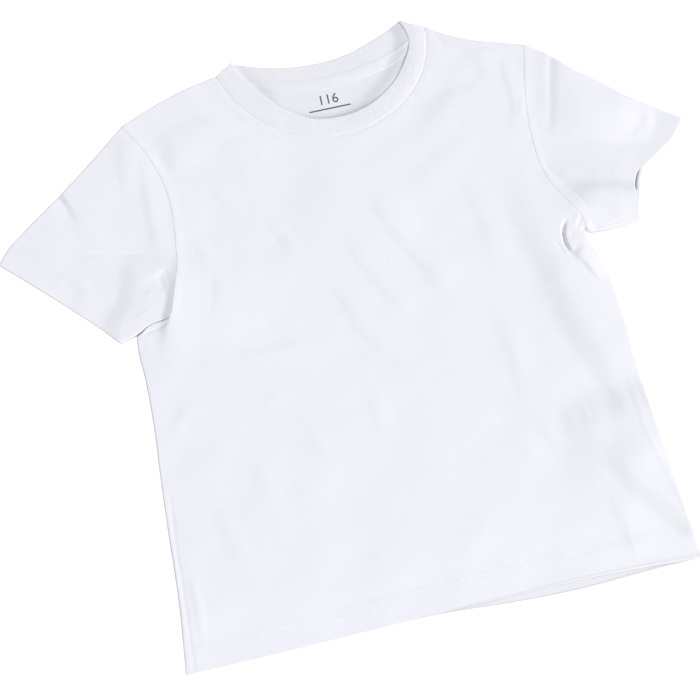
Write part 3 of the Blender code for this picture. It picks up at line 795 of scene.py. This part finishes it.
class Finish:
    """A material that is being made."""

    def __init__(self, name, roughness=0.9, sheen=0.0):
        self.material = bpy.data.materials.new(name)
        self.material.use_nodes = True
        self.tree = self.material.node_tree
        self.shader = self.tree.nodes["Principled BSDF"]
        self.set("Roughness", roughness)
        self.set("Specular IOR Level", SPECULAR)
        self.set("Sheen Weight", sheen)
        self.set("Sheen Roughness", SHEEN_ROUGHNESS)

    def set(self, name, value):
        self.feed(self.shader.inputs[name], value)

    def feed(self, socket, value):
        if isinstance(value, Wire):
            self.tree.links.new(value.socket, socket)
        else:
            socket.default_value = value

    def node(self, kind, settings=None, inputs=None, output=0):
        node = self.tree.nodes.new(kind)
        for key, value in (settings or {}).items():
            setattr(node, key, value)
        for key, value in (inputs or {}).items():
            self.feed(node.inputs[key], value)
        return Wire(self, node.outputs[output])

    def grain(self):
        """The place on the flat cloth, whole and as its two directions, in mm."""
        place = self.node("ShaderNodeUVMap", {"uv_map": "grain"})
        u, v = (self.node("ShaderNodeSeparateXYZ", None, {0: place}, output) for output in (0, 1))
        return place, u, v

    def noise(self, place, scale, detail=2.0):
        return self.node("ShaderNodeTexNoise", None, {"Vector": place, "Scale": scale, "Detail": detail})

    def measure(self, name):
        return self.node("ShaderNodeAttribute", {"attribute_name": name}, output=2)

    def mix(self, share, low, high):
        """A colour between two that may vary."""
        return self.node("ShaderNodeMix", {"data_type": "RGBA"}, {0: share, 6: low, 7: high}, output=2)

    def blend(self, share, low, high):
        """A colour between two tones."""
        return self.mix(share, (*low, 1.0), (*high, 1.0))

    def bump(self, height):
        """Relief whose height is in mm."""
        self.set("Normal", self.node("ShaderNodeBump", None, {"Height": height, "Distance": MM}))


SPECULAR = 0.25
SHEEN_ROUGHNESS = 0.6
COTTON_ROUGHNESS = (0.86, 0.12)  # least, and how much the yarn adds
COTTON_SHEEN = 0.12
JERSEY_TONES = ((0.815, 0.816, 0.857), (0.845, 0.846, 0.887))
# The rib's tones are a little darker than the jersey's: painted shade of its grooves
RIB_TONES = ((0.80, 0.801, 0.838), (0.83, 0.831, 0.868))
THREAD_TONES = ((0.80, 0.805, 0.85), (0.86, 0.865, 0.90))
INK_TONES = ((0.05, 0.05, 0.06), (0.13, 0.13, 0.145))
NECK_PAINTED_SHADE = 0.955  # painted shade: the back and the tape, which show inside the neck, are darkened to this share
HEM_EDGE_PAINTED_SHADE = {"front": 0.88, "back": 0.78}  # painted shade along the front's and the back's hem edge, for the shadow where the layers meet
PAINTED_EDGE_REACH = 0.9  # how far in the painted shade reaches
PAINTED_EDGE_BLUR = 0.3
WALE = 0.95  # width of a column of knit loops
COURSE = 0.75  # height of a row of them
SLANT = 1.1  # how far a loop's legs lean, in turns of a course for a whole wale
KNIT_SHARES = (0.3, 0.35)  # of the loops and of the gaps between columns
CLOUDS = (0.05, 3.0)  # noise in the tone: scale to a mm and detail
YARN = (0.9, 2.0)
SLUBS = (0.25, 3.0)  # the slow unevenness of the knit
FIBRES = (1500.0, 2.0)  # of the thread: scale to a metre and detail
INKED_LOOPS = (900.0, 2.0)
KNIT_RELIEF = 0.035  # this and the next are in mm
YARN_RELIEF = 0.04
SLUB_RELIEF = {"jersey": 0.08, "rib": 0.06}
RIB_LOOP_RELIEF = 0.02
THREAD_RELIEF = 0.08
INK_RELIEF = 0.1
GROOVE_WIDTH = 1.0  # on each side of a row of stitching
GROOVE_DEPTH = 0.03


def knit(u, v):
    """Relief of single jersey, 0 on average: columns of V-shaped loops."""
    column = u / WALE
    side = column.math("PINGPONG", column, 0.5)
    row = v / COURSE + side * SLANT
    loop = row.math("SINE", row * math.tau)
    gap = column.math("SINE", column * math.tau)
    return loop * KNIT_SHARES[0] + gap * KNIT_SHARES[1]


def row_of_stitches(from_edge, at, width):
    """A groove that a row of stitching presses in, 1 at its bottom."""
    off = (from_edge - at).math("ABSOLUTE", from_edge - at)
    return off.math("MAXIMUM", 1.0 - off / width, 0.0)


def shaded(share):
    """The jersey's two tones, darkened to this share as painted shade."""
    return [tuple(level * share for level in tint) for tint in JERSEY_TONES]


def jersey(name, rows, shade=1.0, painted_edge_shade=1.0):
    """White cotton single jersey, with pressed-in rows: pairs of a measure's name and its distance. It may
    be darkened all over, and along its hem's edge, as painted shade.
    """
    finish = Finish(name, sheen=COTTON_SHEEN)
    place, u, v = finish.grain()
    cloudy = finish.noise(place, *CLOUDS)
    yarn = finish.noise(place, *YARN)
    tone = cloudy * 0.5 + yarn * 0.5
    # Darkened all over by shade, as painted shade
    color = finish.blend(tone, *shaded(shade))
    # Painted shade along the hem's edge, fading out over the first part of from_hem
    if painted_edge_shade != 1.0:
        off = finish.measure("from_hem") / PAINTED_EDGE_REACH
        painted_edge_color = finish.blend(tone, *shaded(painted_edge_shade))
        color = finish.mix(off.math("SMOOTH_MIN", off, 1.0, PAINTED_EDGE_BLUR), painted_edge_color, color)
    finish.set("Base Color", color)
    finish.set("Roughness", COTTON_ROUGHNESS[0] + yarn * COTTON_ROUGHNESS[1])
    height = knit(u, v) * KNIT_RELIEF + yarn * YARN_RELIEF
    height = height + finish.noise(place, *SLUBS) * SLUB_RELIEF["jersey"]
    for measure, at in rows:
        groove = row_of_stitches(finish.measure(measure), at, GROOVE_WIDTH)
        height = height - groove * GROOVE_DEPTH
    finish.bump(height)
    return finish.material


def rib(name):
    """White cotton rib. Its ribs are in the mesh, so this has only the loops along them."""
    finish = Finish(name, sheen=COTTON_SHEEN)
    place, _, v = finish.grain()
    yarn = finish.noise(place, *YARN)
    finish.set("Base Color", finish.blend(yarn, *RIB_TONES))
    finish.set("Roughness", COTTON_ROUGHNESS[0] + yarn * COTTON_ROUGHNESS[1])
    loops = v.math("SINE", v * (math.tau / COURSE))
    height = loops * RIB_LOOP_RELIEF + yarn * YARN_RELIEF
    finish.bump(height + finish.noise(place, *SLUBS) * SLUB_RELIEF["rib"])
    return finish.material


def thread(name):
    """White sewing thread."""
    finish = Finish(name, roughness=0.6)
    spot = finish.node("ShaderNodeTexCoord", None, None, output=3)
    fibres = finish.noise(spot, *FIBRES)
    finish.set("Base Color", finish.blend(fibres, *THREAD_TONES))
    finish.bump(fibres * THREAD_RELIEF)
    return finish.material


def ink(name):
    """Soft grey ink that the cloth's loops show through."""
    finish = Finish(name, roughness=0.8)
    spot = finish.node("ShaderNodeTexCoord", None, None, output=3)
    loops = finish.noise(spot, *INKED_LOOPS)
    finish.set("Base Color", finish.blend(loops, *INK_TONES))
    finish.bump(loops * INK_RELIEF)
    return finish.material


# Pieces -------------------------------------------------------------------------------------------------


def body_side(side):
    """The body's outline from the hem up to the sleeve."""
    column = 1 if side == "right" else 2
    return curve([(section[column], section.y) for section in BODY] + [SIDE_TOP[side]])


def body_edges(hem, neck, slit):
    """The hem, the top, the right side and the left side of the front or the back."""
    side, under_sleeve, armhole = SIDE_SHARES
    right = chain(
        (body_side("right"), side), (curve(slit), under_sleeve), (curve(ARMHOLE["right"]), armhole)
    )
    left = chain((body_side("left"), side + under_sleeve), (curve(ARMHOLE["left"]), armhole))
    shoulders = curve(SHOULDER["right"]), curve(SHOULDER["left"])[::-1]
    head = chain(*zip((shoulders[0], curve(neck), shoulders[1]), HEAD_SHARES))
    return chain((curve(hem), 1)), head, right, left


def hemmed(from_hem):
    """The jersey's wall, thicker where its hem is turned up."""
    return JERSEY + (HEM - JERSEY) * ease((HEM_TURNING[0] - from_hem) / WALL_STEP + 0.5)


def folded_edges():
    """Where the front turns over into the back."""
    return [body_side("right"), body_side("left"), curve(SHOULDER["right"]), curve(SHOULDER["left"])]


def front_height(points):
    """The front's outer face. The right armhole's seam is pressed towards it."""
    height = top_of(points) + seam_ridge(points, "right")
    return turned_down(points, height, folded_edges(), EDGE_FOOT)


def front_panel(material):
    """The front, with its hem turned up."""
    outline = body_edges(HEM_FRONT, NECK_FRONT, SLIT_FRONT)
    flat = patch(*outline, steps(FRONT_COLUMNS), steps(FRONT_ROWS))
    from_hem = distance(flat, HEM_FRONT)
    measures = {"from_hem": from_hem, "from_neck": distance(flat, NECK_FRONT)}
    points = np.dstack([flat, front_height(flat)])
    return cloth("front_cloth", points, hemmed(from_hem), material, flat, measures=measures)


def back_panel(material):
    """The back. Its columns run the other way, so its outer face looks down."""
    outline = body_edges(HEM_BACK, NECK_BACK, SLIT_BACK)
    flat = patch(*outline, steps(BACK_COLUMNS), steps(BACK_ROWS))[:, ::-1]
    measures = {"from_hem": distance(flat, HEM_BACK), "from_neck": distance(flat, NECK_BACK)}
    off = from_edges(flat, folded_edges())
    curled = CURL * (1 - np.sqrt(1 - (1 - np.clip(off / CURL, 0, 1)) ** 2))
    points = np.dstack([flat, np.maximum(curled, back_rise(flat))])
    return cloth("back_cloth", points, JERSEY, material, flat, measures=measures)


def sleeve_edges(side):
    """The armhole, the folded top and the folded underarm of a sleeve."""
    outward_by = SEAM_GAP if side == "right" else -SEAM_GAP
    armhole = offset(curve(ARMHOLE[side]), outward_by)
    top = curve([tuple(armhole[-1])] + SLEEVE_TOP[side])
    under = curve([tuple(armhole[0])] + UNDERARM[side])
    return armhole, top, under


def sleeve_height(points, side):
    """The outer face of a sleeve's upper layer. The left armhole's seam is pressed towards it."""
    _, top, under = sleeve_edges(side)
    height = top_of(points)
    pressed = seam_ridge(points, side) if side == "left" else 0.0
    return turned_down(points, height + pressed, [top, under], height / 2)


def sleeve(side, material):
    """A flattened tube, open at the armhole and the cuff, folded along its top and under the arm."""
    armhole, top, under = sleeve_edges(side)
    u = steps(SLEEVE_LENGTH)
    layers = []
    for cuff, v in ((CUFF[side], steps(SLEEVE_UPPER)), (CUFF_LOWER[side], steps(SLEEVE_LOWER))):
        edges = [chain((line, 1)) for line in (under, top, armhole, curve(cuff)[::-1])]
        layers.append(patch(*edges, u, v).transpose(1, 0, 2))
    upper, lower = layers
    upper_points = np.dstack([upper, sleeve_height(upper, side)])
    fold = top_of(lower) / 2
    lower_height = turned_down(lower, 0.0, [top, under], fold)
    lower_points = np.dstack([lower, lower_height])[:, -2:0:-1]
    ring = np.concatenate([upper_points, lower_points], axis=1)
    if side == "left":
        ring = ring[:, ::-1]  # to keep its outer face outside
    from_cuff = distance(ring[..., :2], CUFF[side])
    grain = turned(ring[..., :2], SLEEVE_GRAIN[side])
    name, measures = "sleeve_cloth_" + side, {"from_hem": from_cuff}
    return cloth(name, ring, hemmed(from_cuff), material, grain, ring=True, measures=measures)


def band_height(front, share, across):
    """The outer face of the band's front half."""
    lift = np.interp(share, np.linspace(0, 1, len(BAND_LIFT)), BAND_LIFT)
    return top_of(front) + lift * across + BAND_CROWN * np.sin(across * np.pi)


def neckband(material):
    """The ring of folded rib: its front half lies over its back half and both turn at the shoulders."""
    seam_line = offset(curve(NECK_FRONT), SEAM_GAP)
    back_line = offset(curve(NECK_BACK), SEAM_GAP)
    share = np.linspace(0, 1, RIB_STEPS * round(length_of(seam_line) / RIB_PITCH) + 1)
    back_share = np.linspace(0, 1, RIB_STEPS * round(length_of(back_line) / RIB_PITCH) + 1)[-2:0:-1]
    seam, free = resample(seam_line, share), resample(curve(BAND_FRONT), share)
    back_seam, back_free = resample(back_line, back_share), resample(curve(BAND_BACK), back_share)
    turns = [np.array([seam[end], free[end]]) for end in (0, -1)]
    rise = steps(BAND_ACROSS)[:, None, None]
    front = (1 - rise) * seam + rise * free
    back = (1 - rise) * back_seam + rise * back_free
    height = band_height(front, share, rise[..., 0])
    fold = np.mean([height[:, 0], height[:, -1]], axis=0)[:, None] / 2
    front_z = turned_down(front, height, turns, fold, BAND_ROLL)
    back_z = turned_down(back, back_rise(back), turns, fold)
    ring = np.concatenate([np.dstack([front, front_z]), np.dstack([back, back_z])], axis=1)
    along = np.arange(ring.shape[1]) * RIB_PITCH / RIB_STEPS
    ribs = RIB_HEIGHT * np.cos(along * math.tau / RIB_PITCH)
    relief = ribs[None, :] * ease(rise[..., 0] / RIB_START)
    grain = np.dstack(np.broadcast_arrays(along[None, :], rise[..., 0] * BAND_WIDTH))
    return cloth("neckband_cloth", ring, RIB, material, grain, ring=True, relief=relief)


def neck_tape(material):
    """The strip over the back neck seam, a grid of rows along the seam from its lower edge up."""
    seam = resample(curve(NECK_BACK), np.linspace(*TAPE_REACH, TAPE_ALONG))
    across = steps(TAPE_ACROSS)
    below = TAPE_WIDTH * (1 - across)
    flat = np.stack([offset(seam, -TAPE_DROP - drop) for drop in below])
    low, high = TAPE_LEVELS
    size, rise, turn = TAPE_RIPPLE
    ripple = waves(flat.reshape(-1, 2), size, turn, stretch=1.0, seed=3.0).reshape(flat.shape[:2])
    level = low + (high - low) * np.sin(across[:, None] * np.pi / 2) + rise * ripple
    points = np.dstack([flat, level + back_rise(flat)])
    measures = {"from_neck": np.broadcast_to(below[:, None], flat.shape[:2])}
    return cloth("neck_tape_cloth", points, TAPE, material, flat, measures=measures)


def bead(tail, ahead, aside, up):
    """One stitch's points: its tail, the rings round it and its head."""
    _, half_width, half_height = STITCH
    points = [tail - up * half_height]
    for ring in range(STITCH_RINGS):
        t = (ring + 1) / (STITCH_RINGS + 1)
        full = math.sin(math.pi * t) ** 0.5
        middle = tail + ahead * t + up * half_height * STITCH_BOW * math.sin(math.pi * t)
        for side in range(STITCH_SIDES):
            angle = math.tau * side / STITCH_SIDES
            wide = aside * half_width * full * math.cos(angle)
            high = up * half_height * full * math.sin(angle)
            points.append(middle + wide + high)
    points.append(tail + ahead - up * half_height)
    return points


def bead_faces(first):
    """One stitch's faces, by the number of its first point."""
    last = first + 1 + STITCH_RINGS * STITCH_SIDES
    faces = []
    for side in range(STITCH_SIDES):
        after = (side + 1) % STITCH_SIDES
        faces.append((first, first + 1 + after, first + 1 + side))
        for low in range(first + 1, last - STITCH_SIDES, STITCH_SIDES):
            high = low + STITCH_SIDES
            faces.append((low + side, low + after, high + after, high + side))
        faces.append((last - STITCH_SIDES + side, last - STITCH_SIDES + after, last))
    return faces


def stitches(name, rows, material):
    """Rows of machine stitches, each a (line, height function) pair, as one mesh of small beads."""
    length = STITCH[0]
    vertices, faces = [], []
    for line, height_at in rows:
        count = int(length_of(line) / STITCH_PITCH)
        total = count * STITCH_PITCH
        start = (np.arange(count) * STITCH_PITCH + STITCH_LEAD) / total
        ends = [resample(line, start), resample(line, start + length / total)]
        tails, heads = [np.column_stack([end, height_at(end)]) for end in ends]
        ahead = heads - tails
        aside = cross(np.array([0.0, 0.0, 1.0]), ahead)
        up = cross(ahead, aside)
        for stitch in zip(tails, ahead, aside, up):
            faces += bead_faces(len(vertices))
            vertices += bead(*stitch)
    return mesh_object(name, vertices, faces, material)


def size_print(material):
    """The size as a plain number over a rule, lying on the inside of the back."""
    letters = bpy.data.curves.new("size_print", "FONT")
    letters.body = PRINT_NUMBER
    letters.align_x = "CENTER"
    letters.align_y = "CENTER"
    letters.size = PRINT_HEIGHT * LETTER_SIZE * MM
    letters.resolution_u = 4
    holder = bpy.data.objects.new("size_print", letters)
    mesh = bpy.data.meshes.new_from_object(holder)
    bpy.data.objects.remove(holder)
    length, width, below = PRINT_RULE
    count = len(mesh.vertices)
    along = np.linspace(-length / 2, length / 2, PRINT_STEPS + 1)
    rule = [(x, y) for y in (-below, width - below) for x in along]
    number = [(vertex.co.x / MM, vertex.co.y / MM) for vertex in mesh.vertices]
    flat = np.array(number + rule) + PRINT_MIDDLE
    faces = [tuple(face.vertices) for face in mesh.polygons]
    for k in range(count, count + PRINT_STEPS):
        faces.append((k, k + 1, k + PRINT_STEPS + 2, k + PRINT_STEPS + 1))
    level = JERSEY + INK + back_rise(flat)
    return mesh_object("size_print", np.column_stack([flat, level]), faces, material)


# The room -----------------------------------------------------------------------------------------------

ELEVATION = 79.0  # of the camera above the surface, in degrees
TURNED = 12.59  # how far the garment is turned on the surface
FAR = 1.094  # from the camera to the point it looks at
AIM = (0.01525, 0.0537)  # from the point it looks at to the garment's drafting origin
LENS = 72.0
SENSOR = 36.0
FLOOR_SIZE = 8
FLOOR_LEVEL = -0.0003
FLOOR_TONE = (0.9, 0.9, 0.9, 1.0)
FLOOR_GLOW = 0.9
SKY_TONE = (0.93, 0.938, 0.995, 1.0)
SKY_STRENGTH = 0.40


def on_ground(x, y, z, is_place=True):
    """A place or a direction seen from the camera's side, in the part's frame."""
    if is_place:
        x, y = x - AIM[0], y - AIM[1]
    point = Vector((*turned(np.array([x, y]), TURNED), z))
    if is_place:
        point -= Vector((MIDDLE[0] * MM, MIDDLE[1] * MM, 0))
    return point


def camera():
    """The camera, which looks down at the garment from beyond its hem."""
    rise = math.radians(ELEVATION)
    data = bpy.data.cameras.new("camera")
    data.sensor_width = SENSOR
    data.lens = LENS
    obj = bpy.data.objects.new("camera", data)
    bpy.context.scene.collection.objects.link(obj)
    place = on_ground(0, -FAR * math.cos(rise), FAR * math.sin(rise))
    back = (place - on_ground(0, 0, 0)).normalized()
    up = on_ground(0, math.sin(rise), math.cos(rise), is_place=False)
    right = up.cross(back).normalized()
    matrix = Matrix((right, back.cross(right), back)).transposed().to_4x4()
    matrix.translation = place
    obj.matrix_world = matrix
    bpy.context.scene.camera = obj


def light(name, kind, energy, place, color=(1, 1, 1), **sizes):
    """A light that shines towards the point that the camera looks at."""
    data = bpy.data.lights.new(name, kind)
    data.energy = energy
    data.color = color
    for key, value in sizes.items():
        setattr(data, key, value)
    obj = bpy.data.objects.new(name, data)
    bpy.context.scene.collection.objects.link(obj)
    obj.location = on_ground(*place)
    toward = on_ground(0, 0, 0) - obj.location
    obj.rotation_mode = "QUATERNION"
    obj.rotation_quaternion = toward.to_track_quat("-Z", "Y")


def room():
    """The pale surface that the garment lies on, the lights and the camera."""
    floor_finish = Finish("pale_floor")
    floor_finish.set("Base Color", FLOOR_TONE)
    floor_finish.set("Emission Color", (1.0, 1.0, 1.0, 1.0))
    floor_finish.set("Emission Strength", FLOOR_GLOW)
    bpy.ops.mesh.primitive_plane_add(size=FLOOR_SIZE, location=(0, 0, FLOOR_LEVEL))
    floor = bpy.context.object
    floor.name = "floor"
    floor.data.materials.append(floor_finish.material)
    floor.visible_diffuse = False  # its glow doesn't light the garment
    world = bpy.data.worlds.new("soft white")
    bpy.context.scene.world = world
    world.use_nodes = True
    sky = world.node_tree.nodes["Background"]
    sky.inputs["Color"].default_value = SKY_TONE
    sky.inputs["Strength"].default_value = SKY_STRENGTH
    light("key", "SUN", 2.91, place=(1.75, -0.4, 1.6), color=(0.985, 0.985, 1.0), angle=math.radians(80))
    light("from the left", "SUN", 0.2, place=(-2.0, -0.3, 0.35), angle=math.radians(20))
    light("fill", "AREA", 1.9, place=(0.8, -0.6, 0.9), color=(1.0, 1.0, 0.85), size=0.8)
    bpy.context.scene.view_settings.view_transform = "Standard"
    camera()


# The garment --------------------------------------------------------------------------------------------


def body_area(hem, neck):
    """Area of the front or the back, laid flat."""
    left = [body_side("left"), curve(ARMHOLE["left"]), curve(SHOULDER["left"])]
    right = [body_side("right"), curve(ARMHOLE["right"]), curve(SHOULDER["right"])]
    return area_of(curve(hem), *left, curve(neck)[::-1], *[line[::-1] for line in right[::-1]])


def sheet(obj, node):
    """What a piece of cloth rides on and stands for: it rides on the root body and its part is hidden."""
    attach(obj, "root")
    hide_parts(node)


def garment():
    """All the pieces, and what each rides on and stands for."""
    hem_rows = [("from_hem", at) for at in HEM_ROWS]
    neck_rows = [("from_neck", at) for at in NECK_ROWS]
    # Painted shade darkens the front's and the back's hem edges
    body_jersey = jersey("white_jersey_body", hem_rows + neck_rows, painted_edge_shade=HEM_EDGE_PAINTED_SHADE["front"])
    # Painted shade darkens the back and the tape, which show inside the neck
    back_jersey = jersey("white_jersey_back", hem_rows, NECK_PAINTED_SHADE, HEM_EDGE_PAINTED_SHADE["back"])
    sleeve_jersey = jersey("white_jersey_sleeve", hem_rows)
    tape_jersey = jersey("white_jersey_tape", [("from_neck", at) for at in TAPE_ROWS], NECK_PAINTED_SHADE)
    white_thread = thread("white_thread")

    front = front_panel(body_jersey)
    back = back_panel(back_jersey)
    sleeves = {side: sleeve(side, sleeve_jersey) for side in ("right", "left")}
    band = neckband(rib("white_rib_band"))
    tape = neck_tape(tape_jersey)
    printed = size_print(ink("grey_ink"))

    body_rows = [(offset(curve(HEM_FRONT), at), front_height) for at in HEM_ROWS]
    trim = ROW_TRIM["neck"]
    body_rows += [(offset(curve(NECK_FRONT), -at)[trim:-trim], front_height) for at in NECK_ROWS]
    body_stitches = stitches("body_stitches", body_rows, white_thread)
    cuff_stitches = {}
    trim = ROW_TRIM["cuff"]
    for side, inward in (("right", 1), ("left", -1)):
        lines = [offset(curve(CUFF[side]), inward * at)[trim:-trim] for at in HEM_ROWS]
        rows = [(line, lambda points, side=side: sleeve_height(points, side)) for line in lines]
        cuff_stitches[side] = stitches("cuff_stitches_" + side, rows, white_thread)

    for piece in [printed, body_stitches, *cuff_stitches.values()]:
        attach(piece, "root")
    front_area, back_area = body_area(HEM_FRONT, NECK_FRONT), body_area(HEM_BACK, NECK_BACK)
    sheet(front, "front_panel")
    sheet(back, "back_panel")
    for side, obj in sleeves.items():
        armhole, top, under = sleeve_edges(side)
        area = 2 * area_of(under, curve(CUFF[side])[::-1], top[::-1], armhole[::-1])
        sheet(obj, "sleeve_" + side)
    ring = length_of(curve(NECK_FRONT)) + length_of(curve(NECK_BACK))
    sheet(band, "neckband")
    tape_length = length_of(curve(NECK_BACK)) * (TAPE_REACH[1] - TAPE_REACH[0])
    sheet(tape, "neck_tape")


garment()
room()
